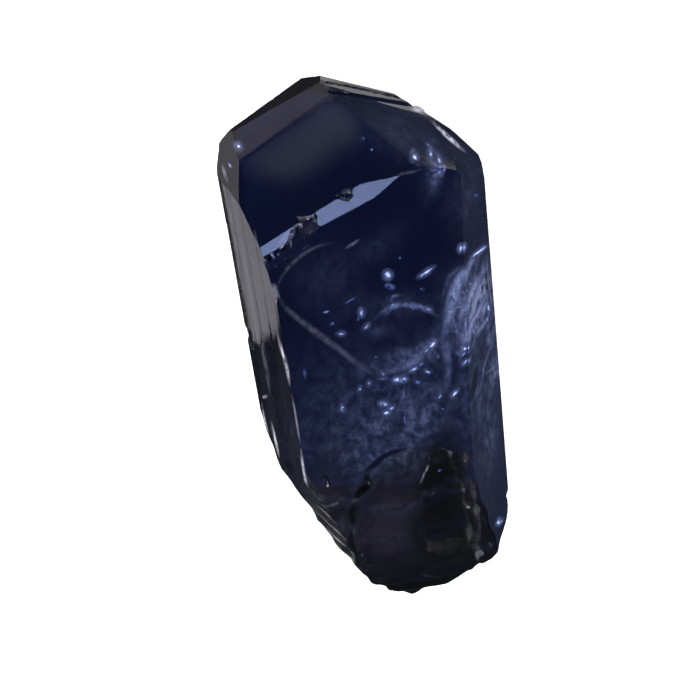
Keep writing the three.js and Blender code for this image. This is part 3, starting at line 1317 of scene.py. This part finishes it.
class PaintedGlintFlakes(SealedSheets):
    """Painted glints: flakes and slits that shine white by their own emission, where tiny cracks would mirror
    the light.

    Attributes:
        flecks: where each one starts and ends, its width, its glow and, near an edge, its depth. They lie
            under the front, in the arcs, in the milky band, in the corner and along the edges.
    """

    name = "painted_glint_flakes"
    film = Film.PAINTED_GLINT

    flecks: ClassVar[tuple[tuple, ...]] = (
        ((0.95, 8.1), (1.05, 7.55), 0.55, 1.0), ((0.7, 7.3), (1.4, 6.9), 0.5, 0.35),
        ((2.8, 7.25), (3.85, 7.75), 0.23, 0.95), ((2.85, 6.6), (3.15, 6.4), 0.24, 0.5),
        ((5.6, 8.75), (5.55, 8.3), 0.3, 0.95), ((6, 7.65), (7.55, 7.45), 0.27, 1.0),
        ((-1.8, 6.6), (-1.05, 6.85), 0.15, 0.4), ((-3.2, 6.3), (-2.7, 6.35), 0.21, 0.5),
        ((-2.85, 5.45), (-2.55, 5.55), 0.24, 0.55), ((-2.45, 4.8), (-2.05, 4.7), 0.21, 0.7),
        ((-0.85, 6.05), (-0.85, 5.6), 0.3, 1.0), ((-1.05, 5.65), (-1.15, 5.3), 0.18, 0.35),
        ((-0.9, 4.7), (-0.5, 5), 0.18, 0.7), ((0.9, 5.8), (1.25, 6), 0.3, 0.55),
        ((3.05, 5.25), (3.4, 5.05), 0.24, 0.7), ((2.25, 5.6), (2.3, 5.25), 0.18, 0.4),
        ((2.95, 2.6), (3.45, 3), 0.3, 1.0), ((2.6, 2.4), (3.05, 2.65), 0.24, 0.55),
        ((5, 2.25), (5.3, 2), 0.42, 1.0), ((4.65, 1.9), (5, 1.9), 0.27, 0.7),
        ((4.8, 1.55), (5.3, 1.9), 0.24, 0.5), ((4.9, 1), (5.35, 1.4), 0.18, 0.7),
        ((1.6, 1.35), (2.15, 1.55), 0.24, 0.8), ((2.15, 1.55), (2.6, 1.8), 0.18, 0.45),
        ((2.55, 1.2), (2.9, 0.95), 0.24, 0.75), ((0.45, 1.05), (1.45, 0.9), 0.48, 1.0),
        ((1.85, 0.65), (2.2, 0.45), 0.36, 0.45), ((-0.2, 1.85), (0.05, 1.35), 0.21, 0.45),
        ((4.05, -0.95), (4.5, -0.55), 0.27, 0.95), ((3.15, -0.9), (3.45, -0.6), 0.24, 0.55),
        ((3.3, -1.55), (3.45, -1.7), 0.18, 0.4), ((-0.5, -0.35), (0.05, -0.6), 0.42, 0.85),
        ((-0.35, -1.15), (0.1, -1.1), 0.36, 1.0), ((0.05, -0.95), (0.4, -0.8), 0.24, 0.75),
        ((-2.8, 0), (-2.8, -0.5), 0.36, 0.75), ((-0.95, 1.3), (-1, 0.95), 0.18, 0.65),
        ((-1.55, 1), (-1.55, 0.75), 0.21, 0.7), ((0.95, -1.5), (0.95, -2.25), 0.18, 0.35),
        ((-0.65, -2.1), (-0.35, -2.1), 0.24, 0.3), ((-4.75, 2.95), (-4.75, 2.15), 0.3, 0.25),
        ((1.1, 0.35), (1.05, -0.45), 0.18, 0.3), ((-4, -3.55), (-4.05, -3.95), 0.18, 0.6),
        ((-3.05, -3.75), (-3.1, -4.2), 0.18, 0.5), ((-0.4, 2.75), (-0.3, 2.85), 0.18, 0.35),
        ((3.35, 2), (3.6, 1.9), 0.36, 0.4), ((7.15, 3.7), (7.2, 3.15), 0.24, 1.0),
        ((7, 2.95), (6.95, 2.6), 0.21, 0.7), ((6.6, 3.6), (6.65, 3.2), 0.24, 0.5),
        ((1.75, 8.75), (1.95, 8.7), 0.24, 0.3), ((3.5, 14.45), (3.4, 14.15), 0.36, 1.0),
        ((1.15, 14.9), (1.3, 14.85), 0.18, 0.5), ((0.8, 15.5), (0.95, 15.35), 0.3, 0.25),
        ((4.55, 14.3), (4.45, 14.05), 0.24, 0.8), ((4.85, 13.95), (4.9, 13.7), 0.24, 0.7),
        ((4.75, 13.45), (4.85, 13.2), 0.24, 0.85), ((4.55, 13.4), (4.65, 13.2), 0.24, 0.6),
        ((4.55, 13.85), (4.5, 13.45), 0.24, 0.6), ((5.1, 13.65), (5.05, 13.3), 0.18, 0.5),
        ((4.35, 14.6), (4.7, 14.35), 0.18, 0.3), ((6.4, -11.95), (7.05, -12.5), 0.3, 1.0, 0.1),
        ((6.6, -11.85), (6.75, -12.5), 0.18, 0.8, 0.1), ((2.8, -6.8), (3.1, -6.65), 0.18, 0.4, 0.2),
        ((-6.4, 15.45), (-6.15, 15.5), 0.3, 1.0, 0.1), ((-7.05, 14.65), (-6.9, 14.35), 0.24, 0.6, 0.1),
        ((6.75, 11.3), (7.05, 10.95), 0.3, 0.35),
    )

    def sheets(self) -> Sequence[Sheet]:
        """One short streak for each fleck."""
        return [Streak((start, end), *rest) for start, end, *rest in self.flecks]


class HealedVeilsPaintedGlow(SealedSheets):
    """Healed cracks with a painted glow: milky arcs and wisps under the front, and the frosted wedge at the
    right edge, all pale by their own emission, and a painted glow round each bright flake.

    Attributes:
        bright: glow above which a flake has a halo.
        halo_reach: how far a halo reaches past its flake.
        halo_glow: glow of a halo, as a share of its flake's.
    """

    name = "healed_veils_painted_glow"
    film = Film.VEIL_PAINTED_GLOW
    bright: ClassVar[float] = 0.6
    halo_reach: ClassVar[float] = 0.22
    halo_glow: ClassVar[float] = 0.6

    def sheets(self) -> Sequence[Sheet]:
        """The arcs first, then the wisps of the wedge, then a painted glow round each bright flake."""
        flakes = PaintedGlintFlakes(self.form).sheets()
        return (
            Streak(((-0.35, 5.05), (0.45, 5.55), (1.05, 5.75), (1.8, 5.75), (2.75, 5.35), (3.4, 4.85),
                    (3.9, 4.4)), 0.54, 0.7, 0.8),
            Streak(((1, 5.9), (1.05, 6.4), (1.75, 6.35)), 0.3, 0.5, 0.8),
            Streak(((0.35, 5.2), (1, 5.55)), 0.18, 0.6, 0.8),
            Streak(((0.1, 1.5), (1.05, 1.65), (2.2, 1.9), (3.15, 2.5)), 0.83, 0.6, 0.8),
            Streak(((-0.5, 1.3), (0.45, 1.1)), 0.24, 0.5, 0.8),
            Streak(((1.25, 0.65), (1, -0.2), (0.8, -0.85)), 0.24, 0.35, 0.8),
            Streak(((7.45, 7.4), (6, 7.4), (5.1, 6.35), (4.65, 5.1), (4.25, 3.9), (3.75, 2.7)), 1.1, 0.9),
            Streak(((7.6, 6.3), (6.2, 5.7), (5.55, 4.9), (4.9, 3.45)), 1.0, 0.9),
            Streak(((7.65, 4.7), (6.65, 4.05), (5.5, 3.3), (5.2, 2.35), (4.65, 1.15)), 0.8, 0.9),
            Streak(((6, 7.65), (4.75, 7.05), (4.05, 5.6)), 0.48, 0.35),
            Streak(((4.65, 4.95), (5.55, 4.85)), 0.3, 0.7),
            Streak(((7.6, 3.7), (6.95, 2.75), (5.95, 2.5), (5.35, 1.6)), 0.6, 0.7),
            Streak(((7.65, 1.2), (7, 0.6), (6.4, 0), (6.1, -1.2)), 0.4, 0.5),
            Streak(((4.25, 3.55), (4.05, 2.3), (4, 0.95), (3.7, -0.7)), 0.8, 0.45),
            *(flake.halo(self.halo_reach, self.halo_glow) for flake in flakes if flake.glow > self.bright),
        )


class DeepHazePaintedGlow(SealedSheets):
    """The haze of fine healed cracks that fills the lower half, the right side and the tip, pale by a painted
    glow of its own emission.
    """

    name = "deep_haze_painted_glow"
    film = Film.HAZE_PAINTED_GLOW

    def sheets(self) -> Sequence[Sheet]:
        """One sheet whose clouds are the lower half, the milky right side, the arcs' ground and the tip."""
        return (Haze((
            Cloud((0.0, -3.4), (17, 17), -9, 0.72),
            Cloud((-3.5, -4.0), (5, 8), -9, 0.5),
            Cloud((-3.3, 1.5), (7, 9), -9, 0.25),
            Cloud((-2.6, 8.2), (5.5, 5.5), 30, 0.34),
            Cloud((0.6, 9.6), (5, 2.4), 26, 0.3),
            Cloud((1.6, 5.6), (5, 2.4), -9, 0.5),
            Cloud((1.5, 2.1), (5.5, 2.6), 6, 0.9),
            Cloud((3.2, 2.6), (3.0, 2.6), 20, 0.9),
            Cloud((0, 4.4), (2.7, 1.6), -9, 0.5),
            Cloud((6.0, 4.4), (7.5, 5.2), 75, 1.5),
            Cloud((7.3, 1.8), (4.0, 1.8), 75, 1.1),
            Cloud((5.6, -1.2), (4.2, 10), -9, 0.6),
            Cloud((6.3, -5.5), (2.8, 11), -9, 0.65),
            Cloud((6.2, 11.4), (3.5, 6), -9, 0.45),
            Cloud((2.9, 15.2), (7, 3), -27, 0.35),
            Cloud((4.45, 13.2), (3.6, 1.5), 71, 0.95),
            Cloud((-5.6, -2.5), (2.4, 9), -9, 0.3),
            Cloud((2.6, -1.4), (4.6, 5.8), -9, 0.6),
            Cloud((-0.6, 6.0), (5.5, 2.6), -9, 0.35),
            Cloud((-0.6, 1.9), (4, 2.2), -9, 0.4),
            Cloud((7.4, -1.2), (2.2, 4.8), -9, 1.0),
        ), 0.9),)


class FootShadeHaze(SealedSheets):
    """Painted shade with a dim painted glow: a dark plum grey sheet close under the breaks of the foot, and a
    patch in the chipped end of the pale facet, that darken them.
    """

    name = "foot_painted_shade"
    film = Film.PLUM_SHADE

    def sheets(self) -> Sequence[Sheet]:
        """One sheet under the foot's skin, and a patch under the chip."""
        return (
            Haze((
                Cloud((-0.4, -10.2), (6.4, 9), -9, 1.3),
                Cloud((-4.4, -5.6), (4, 7), -9, 0.8),
                Cloud((-3.6, -10.5), (4, 7), -9, 0.9),
                Cloud((1.6, -15), (9, 4.5), 0, 0.9),
            ), 0.42, (0.0, -9.0), 4.0, 101),
            Streak(((-3.75, 11.2), (-2.6, 11.75)), 0.8, 1.2, 0.06),
        )


class RimHighlightFilms(SealedSheets):
    """Painted highlights with a lilac tint: films close under the raised rims of the front, bright by their
    own emission where the rims would catch the light.
    """

    name = "rim_painted_highlights"
    film = Film.LILAC_HIGHLIGHT

    def sheets(self) -> Sequence[Sheet]:
        """The two arms, the vein beside the bright bevel and the forks in its chipped end."""
        return (
            Streak(((-5.55, 8.4), (-5.3, 9), (-4.65, 9.6), (-3.75, 10.2), (-2.75, 10.55), (-1.85, 10.6)),
                   0.3, 0.5, 0.08),
            Streak(((-5.55, 8.4), (-5.4, 7.4), (-4.55, 6.3), (-3.5, 5.05), (-2.45, 3.9), (-1.4, 2.55),
                    (-0.4, 1.6)), 0.55, 0.6, 0.08),
            Streak(((1.9, 13.6), (2.55, 13.85), (3.15, 13.8), (3.85, 13.9)), 0.24, 0.5, 0.08),
            Streak(((-1.35, 10.0), (-0.85, 10.2), (-0.3, 10.45)), 0.3, 0.8, 0.3),
            Streak(((-3.6, 11.87), (-4.4, 11.4), (-5.0, 10.9), (-5.5, 10.5)), 0.18, 0.7, 0.05),
            Streak(((-3.85, 11.45), (-4.35, 11.1), (-4.95, 10.7)), 0.3, 1.0, 0.05),
            Streak(((-4.3, 11.05), (-4.35, 10.5)), 0.16, 1.0, 0.05),
            Streak(((-3.5, 11.85), (-3.75, 11.4)), 0.3, 0.8, 0.05),
        )


class PaintedEdgeHighlights(SealedSheets):
    """Painted highlights: white lines along edges and ridges where they would catch the light.

    Attributes:
        depth: how deep they lie.
        highlight_lines: the line, the width and the glow of each painted highlight: first the left edge and
            its ridges, then the tip's right outline, the right outline and the foot.
    """

    name = "painted_edge_highlights"
    film = Film.EDGE_HIGHLIGHT
    depth: ClassVar[float] = 0.06

    highlight_lines: ClassVar[tuple[tuple, ...]] = (
        (((-5.95, 5.65), (-5.9, 4.55), (-5.75, 3.4), (-5.75, 1.95)), 0.3, 1.0),
        (((-5.75, 1.65), (-5.7, 1), (-5.7, -0.8), (-5.7, -2.25)), 0.18, 0.55),
        (((-5.7, -2.25), (-5.75, -3.55), (-5.75, -5.05), (-5.6, -6.25)), 0.27, 0.9),
        (((-6.75, 4.65), (-6.95, 3.25), (-6.95, 1.45), (-7, -0.4)), 0.3, 0.3),
        (((-7.6, -1.65), (-7.6, -3.15), (-7.5, -4.45)), 0.15, 1.0),
        (((-7.2, -2.4), (-7.15, -3.65), (-7.1, -5.25)), 0.27, 1.0),
        (((-7.5, -1.2), (-7.2, -0.55)), 0.18, 0.9),
        (((-7.45, 14.5), (-7.3, 13.6)), 0.3, 0.5),
        (((-7.3, 13.6), (-7.45, 11.55), (-7.45, 9.55), (-7.35, 7.65)), 0.24, 0.3),
        (((-6.25, 11.7), (-6.25, 10.45), (-6.2, 9.7)), 0.18, 0.35),
        (((-5.75, 8.85), (-5.65, 8.4), (-5.75, 7.7)), 0.48, 0.5),
        (((5.1, 15.5), (5.6, 14.9), (6.25, 14.25), (6.9, 13.5)), 0.3, 1.0),
        (((4.15, 16.1), (5.1, 15.75)), 0.3, 0.8),
        (((7.55, 7.3), (7.45, 5.35), (7.65, 3.1)), 0.18, 0.5),
        (((-5.15, -7.35), (-4.45, -7.25), (-3.75, -7.05)), 0.3, 0.25),
        (((2.45, -5.15), (2.05, -5.8), (1.45, -7.15)), 0.24, 0.45),
        (((6.45, -0.55), (7.2, -0.75), (7.75, -0.8)), 0.18, 0.5),
    )

    def sheets(self) -> Sequence[Sheet]:
        """One streak for each painted highlight."""
        return [Streak(line, width, glow, self.depth) for line, width, glow in self.highlight_lines]


class GraphiteSeamsAndFootShade(SealedSheets):
    """Black graphite in the cracks of the foot and in the cavity, painted shade along the foot's bottom edge,
    and dark lines along the right outline.
    """

    name = "graphite_and_painted_foot_shade"
    film = Film.GRAPHITE_AND_SHADE

    def sheets(self) -> Sequence[Sheet]:
        """The jagged crack, the heel's crack, the cavity and its rim with the painted shade along the bottom
        edge, a smoky band on the right, and dark lines along the right outline.
        """
        return (
            Streak(((0.9, -3.8), (-0.3, -3.9), (-1.3, -4.4), (-2.05, -5.1)), 0.42, 1.2, 0.1),
            Streak(((-0.6, -4.0), (-1.2, -4.6), (-2.1, -5.0)), 0.3, 1.2, 0.1),
            Streak(((-1.95, -5.1), (-1.95, -6.05), (-2.5, -6.6), (-2.75, -7.1)), 0.8, 1.2, 0.12),
            Streak(((-2.85, -7.1), (-3.15, -8.35), (-3.1, -9.6)), 0.5, 1.8, 0.2),
            Streak(((-3.3, -9.9), (-3.45, -11.2), (-3.2, -12.25), (-3.0, -12.9)), 0.42, 1.4, 0.3),
            Streak(((-1.3, -13.9), (-0.3, -13.95)), 0.3, 0.7, 0.36),
            Streak(((1.9, -14.45), (3.45, -14.55)), 0.5, 0.9, 0.36),
            Streak(((-4.65, -4.45), (-4.35, -4.95), (-4.25, -5.6)), 0.22, 1.0, 0.12),
            # dark sheet: graphite in the cavity, and painted shade along the foot's bottom edge (the last two
            # clouds)
            Haze((
                Cloud((2.9, -8.0), (2.9, 9.5), -6, 1.6),
                Cloud((3.2, -12), (4.8, 7), 0, 1.6),
                Cloud((1.2, -17.0), (12, 5.2), 0, 1.7),
                Cloud((-4.1, -14.5), (3, 6), 30, 1.0),
            ), 0.36, (1.0, -10.5), 3.0, 121),
            Streak(((5.85, 0.65), (5.55, -0.55), (5.1, -1.6)), 0.65, 0.7, 0.3),
            # dark lines along the right outline
            Streak(((7.6, -6.7), (7.65, -8.4)), 0.18, 0.8, 0.2),
            Streak(((7.4, -9.45), (7.3, -11)), 0.18, 0.8, 0.2),
        )


@dataclass(frozen=True)
class Softbox:
    """A square softbox that faces the crystal from a bearing and a rise above the floor, in degrees."""

    name: str
    bearing: float
    rise: float
    reach: float
    side: float
    colour: Point
    radiance: float
    on_floor: bool = True

    def build(self) -> None:
        """Hang the softbox."""
        light = bpy.data.lights.new(self.name, "AREA")
        light.shape = "SQUARE"
        light.size = self.side * MM
        light.color = self.colour
        light.energy = self.radiance * np.pi * (self.side * MM) ** 2
        box = bpy.data.objects.new(self.name, light)
        way = direction(self.bearing, 90 - self.rise)
        box.location = way * self.reach * MM
        box.rotation_mode = "QUATERNION"
        box.rotation_quaternion = Vector(way).to_track_quat("Z", "Y")
        box.visible_diffuse = self.on_floor
        bpy.context.scene.collection.objects.link(box)


@dataclass(frozen=True)
class Card:
    """A flat card that is seen only in mirror images.

    It keeps faces dark or pale without a shadow or a place in the picture.

    Attributes:
        name: its name.
        corners: its corners, in order.
        radiance: how bright it is.
        mottle: how much its brightness wanders, as a share.
        grain: cycles of that per millimetre.
    """

    name: str
    corners: tuple[Point, ...]
    radiance: Point
    mottle: float = 0.4
    grain: Point = (0.35, 0.2, 0.3)

    def build(self) -> None:
        """Put the card up."""
        corners = np.array(self.corners, dtype=float)
        card = put_mesh(self.name, corners, np.arange(len(corners))[None])
        book = NodeBook(self.name)
        book.shader.inputs["Base Color"].default_value = (0, 0, 0, 1)
        book.shader.inputs["Specular IOR Level"].default_value = 0.0
        book.shader.inputs["Emission Strength"].default_value = 1.0
        dark = tuple(c * (1 - self.mottle) for c in self.radiance)
        pale = tuple(c * (1 + self.mottle) for c in self.radiance)
        level = book.stretch(book.noise(self.grain), 0.3, 0.7)
        book.join(book.tint(level, dark, pale), book.shader.inputs["Emission Color"])
        card.data.materials.append(book.material)
        card.visible_camera = False
        card.visible_diffuse = False
        card.visible_shadow = False
        card.visible_transmission = False


def lying(low: Spot, high: Spot, level: float = 0.02) -> tuple[Point, ...]:
    """A card that lies on the floor, with its sides along the axes.

    Args:
        low: its low corner in the plan.
        high: its high corner.
        level: its height over the floor.

    Returns:
        Its corners.
    """
    (left, front), (right, back) = low, high
    return (left, front, level), (right, front, level), (right, back, level), (left, back, level)


@dataclass(frozen=True)
class Studio:
    """Pale floor, soft lights and the camera.

    Attributes:
        softboxes: the lights.
        cards: what the faces mirror besides them.
        camera_place: where the camera stands.
        camera_right: its sideways direction.
        camera_up: its upward direction.
        lens: its focal length on a frame 36 mm wide.
        floor_side: half the side of the floor.
        floor_gap: how far the floor lies under the crystal.
        floor_colour: the floor's own colour.
        floor_glow: how much it glows of itself, first in mirror images and through glass, then seen directly.
        surround: colour of what is beyond the floor.
    """

    softboxes: tuple[Softbox, ...] = (
        Softbox("window", 118, 50, 260, 80, (0.42, 0.55, 1.0), 5.0, False),
        Softbox("overhead", 205, 74, 300, 110, (1.0, 1.0, 0.98), 7.5),
        Softbox("key", 205, 40, 260, 190, (1.0, 0.98, 0.95), 8.0),
        Softbox("fill", 15, 38, 260, 160, (1.0, 0.98, 0.95), 7.5),
    )
    cards: tuple[Card, ...] = (
        Card("left_pale_card", lying((-26, -1.5), (-10.7, 26)), (0.62, 0.61, 0.68), 0.25),
        Card("left_dark_card", lying((-90, -110), (-10.7, -1.5)), (0.04, 0.04, 0.05)),
        Card("left_black_card", lying((-10.7, -20), (-8.2, 17)), (0.01, 0.01, 0.015)),
        Card("tip_black_card", lying((-14, 18.8), (1.5, 26)), (0.12, 0.12, 0.15)),
        Card("tip_dark_card", lying((5, 23.8), (20, 36)), (0.11, 0.13, 0.28)),
        Card("right_dark_card", lying((12, -110), (110, 23.8)), (0.08, 0.1, 0.2)),
        Card("foot_dark_card", lying((-16, -70), (12, -24)), (0.03, 0.03, 0.05)),
        Card("foot_back_card", ((-70, -70, 0), (70, -70, 0), (70, -70, 75), (-70, -70, 75)),
             (0.02, 0.02, 0.03)),
        Card("tip_band_card", ((-14, 25, 3.5), (-2, 25, 3.5), (-2, 25, 8), (-14, 25, 8)), (0.54, 0.5, 0.6)),
        Card("tip_pale_card", ((-11.3, 25, 10.9), (-3.4, 25, 9.2), (-2.9, 25, 10.8), (-3.2, 25, 12.4),
                               (-9.5, 25, 13.5), (-10.8, 25, 12.6)), (0.33, 0.38, 0.6), 0.3),
    )
    camera_place: Point = (-7.45, 38.04, 78.02)
    camera_right: Point = (0.9823, -0.1241, 0.1403)
    camera_up: Point = (0.1738, 0.8829, -0.4362)
    lens: float = 65.70
    floor_side: float = 2000.0
    floor_gap: float = 0.03
    floor_colour: Point = (0.85, 0.85, 0.86)
    floor_glow: tuple[float, float] = (0.22, 0.75)
    surround: Point = (0.05, 0.075, 0.26)

    def build(self) -> None:
        """Set the studio up."""
        scene = bpy.context.scene
        scene.view_settings.view_transform = "Standard"
        self._floor()
        self._surround(scene)
        for softbox in self.softboxes:
            softbox.build()
        for card in self.cards:
            card.build()
        self._camera(scene)

    def _floor(self) -> None:
        """A large pale floor just under the crystal."""
        side = self.floor_side
        corners = lying((-side, -side), (side, side), -self.floor_gap)
        floor = put_mesh("floor", np.array(corners), np.array([[0, 1, 2, 3]]))
        book = NodeBook("floor")
        shader = book.shader
        shader.inputs["Base Color"].default_value = (*self.floor_colour, 1)
        shader.inputs["Roughness"].default_value = 0.9
        shader.inputs["Specular IOR Level"].default_value = 0.0
        shader.inputs["Emission Color"].default_value = (1, 1, 1, 1)
        seen = book.add("ShaderNodeLightPath").outputs["Is Camera Ray"]
        book.join(book.stretch(seen, 0.0, 1.0, *self.floor_glow), shader.inputs["Emission Strength"])
        floor.data.materials.append(book.material)

    def _surround(self, scene: bpy.types.Scene) -> None:
        """A dim even surround, which is white where it is looked at directly.

        Args:
            scene: the scene that gets it.
        """
        world = bpy.data.worlds.new("surround")
        world.use_nodes = True
        tree = world.node_tree
        dim = tree.nodes["Background"]
        dim.inputs["Color"].default_value = (*self.surround, 1)
        white = tree.nodes.new("ShaderNodeBackground")
        white.inputs["Color"].default_value = (1, 1, 1, 1)
        seen = tree.nodes.new("ShaderNodeLightPath")
        mixed = tree.nodes.new("ShaderNodeMixShader")
        tree.links.new(seen.outputs["Is Camera Ray"], mixed.inputs[0])
        tree.links.new(dim.outputs["Background"], mixed.inputs[1])
        tree.links.new(white.outputs["Background"], mixed.inputs[2])
        tree.links.new(mixed.outputs["Shader"], tree.nodes["World Output"].inputs["Surface"])
        world.cycles_visibility.diffuse = False
        scene.world = world

    def _camera(self, scene: bpy.types.Scene) -> None:
        """The camera, looking down on the lying crystal with its tip up in the picture.

        Args:
            scene: the scene that gets it.
        """
        camera = bpy.data.cameras.new("camera")
        camera.lens = self.lens
        camera.sensor_width = 36.0
        camera.clip_start = 0.001
        camera.clip_end = 10.0
        holder = bpy.data.objects.new("camera", camera)
        right, up = np.array(self.camera_right), np.array(self.camera_up)
        turn = np.eye(4)
        turn[:3, :3] = np.stack([right, up, np.cross(right, up)], axis=1)
        turn[:3, 3] = np.array(self.camera_place) * MM
        holder.matrix_world = Matrix(turn.tolist())
        scene.collection.objects.link(holder)
        scene.camera = holder


def main() -> None:
    """Build everything in order and report each piece."""
    logging.basicConfig(level=logging.INFO, format="%(message)s")
    form = CrystalForm()
    makers = (Crystal, DeepHazePaintedGlow, FootShadeHaze, HealedVeilsPaintedGlow, RimHighlightFilms, PaintedGlintFlakes, PaintedEdgeHighlights, GraphiteSeamsAndFootShade)
    for maker in makers:
        piece = maker(form).build()
        log.info("%s: %d faces", piece.name, len(piece.data.polygons))
    Studio().build()


if __name__ == "__main__":
    main()
